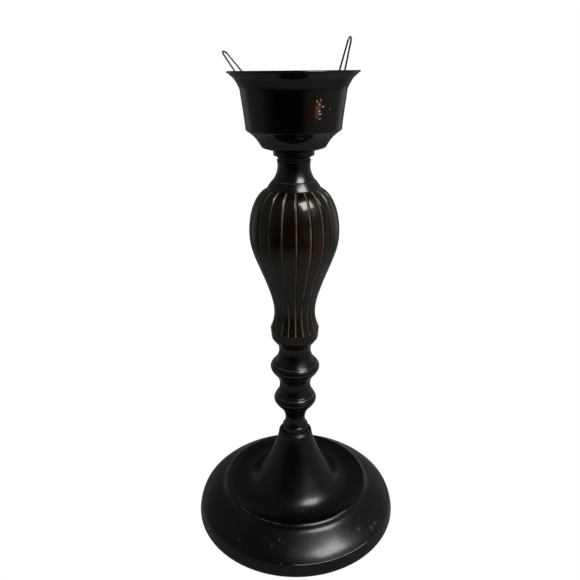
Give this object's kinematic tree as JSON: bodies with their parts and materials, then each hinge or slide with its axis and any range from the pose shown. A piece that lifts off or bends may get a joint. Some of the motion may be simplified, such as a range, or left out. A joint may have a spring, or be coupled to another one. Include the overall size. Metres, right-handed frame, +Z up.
{
  "type": "pillar candlestick",
  "caption": "Tall turned pillar candlestick with a wide domed base, beaded stem, fluted vase body and a flared cup with hinged wire loops.",
  "frame": {"origin": "on the floor under the middle of the base", "axes": "+Z up along the turning axis, -Y towards the camera of the picture, +X to its right"},
  "size_m": [0.215, 0.215, 0.4825],
  "materials": {
    "base_lacquer": "satin lacquer, near black with a warm olive tint, worn at the edges",
    "stem_lacquer": "semi-gloss dark lacquer",
    "body_lacquer": "semi-gloss dark lacquer with reddish brown patches, rubbed along the grooves",
    "cup_lacquer": "semi-gloss dark lacquer with one chipped spot",
    "strap_steel": "dark blued sheet steel",
    "clip_wire": "dull dark drawn wire",
    "fastener_steel": "dull zinc plated steel"
  },
  "bodies": {
    "stand": {"base_shell": "base_lacquer", "base_washer": "fastener_steel", "base_lock_washer": "fastener_steel", "base_nut": "fastener_steel", "tie_rod": "fastener_steel", "lower_stem": "stem_lacquer", "fluted_body": "body_lacquer", "upper_neck": "stem_lacquer", "cup_shell": "cup_lacquer", "clip_strap": "strap_steel", "cup_washer": "fastener_steel", "cup_nut": "fastener_steel"},
    "right_clip": {"wire_clip_right": "clip_wire"},
    "left_clip": {"wire_clip_left": "clip_wire"}
  },
  "joints": [
    {"name": "right_clip_hinge", "type": "hinge", "parent": "stand", "child": "right_clip", "pos_m": [0.03655, -0.01477, 0.441], "axis": [0.3746, 0.9272, 0], "range_deg": [-79.9, 26.06]},
    {"name": "left_clip_hinge", "type": "hinge", "parent": "stand", "child": "left_clip", "pos_m": [-0.03655, 0.01477, 0.441], "axis": [-0.3746, -0.9272, 0], "range_deg": [-105.96, 0]}
  ]
}
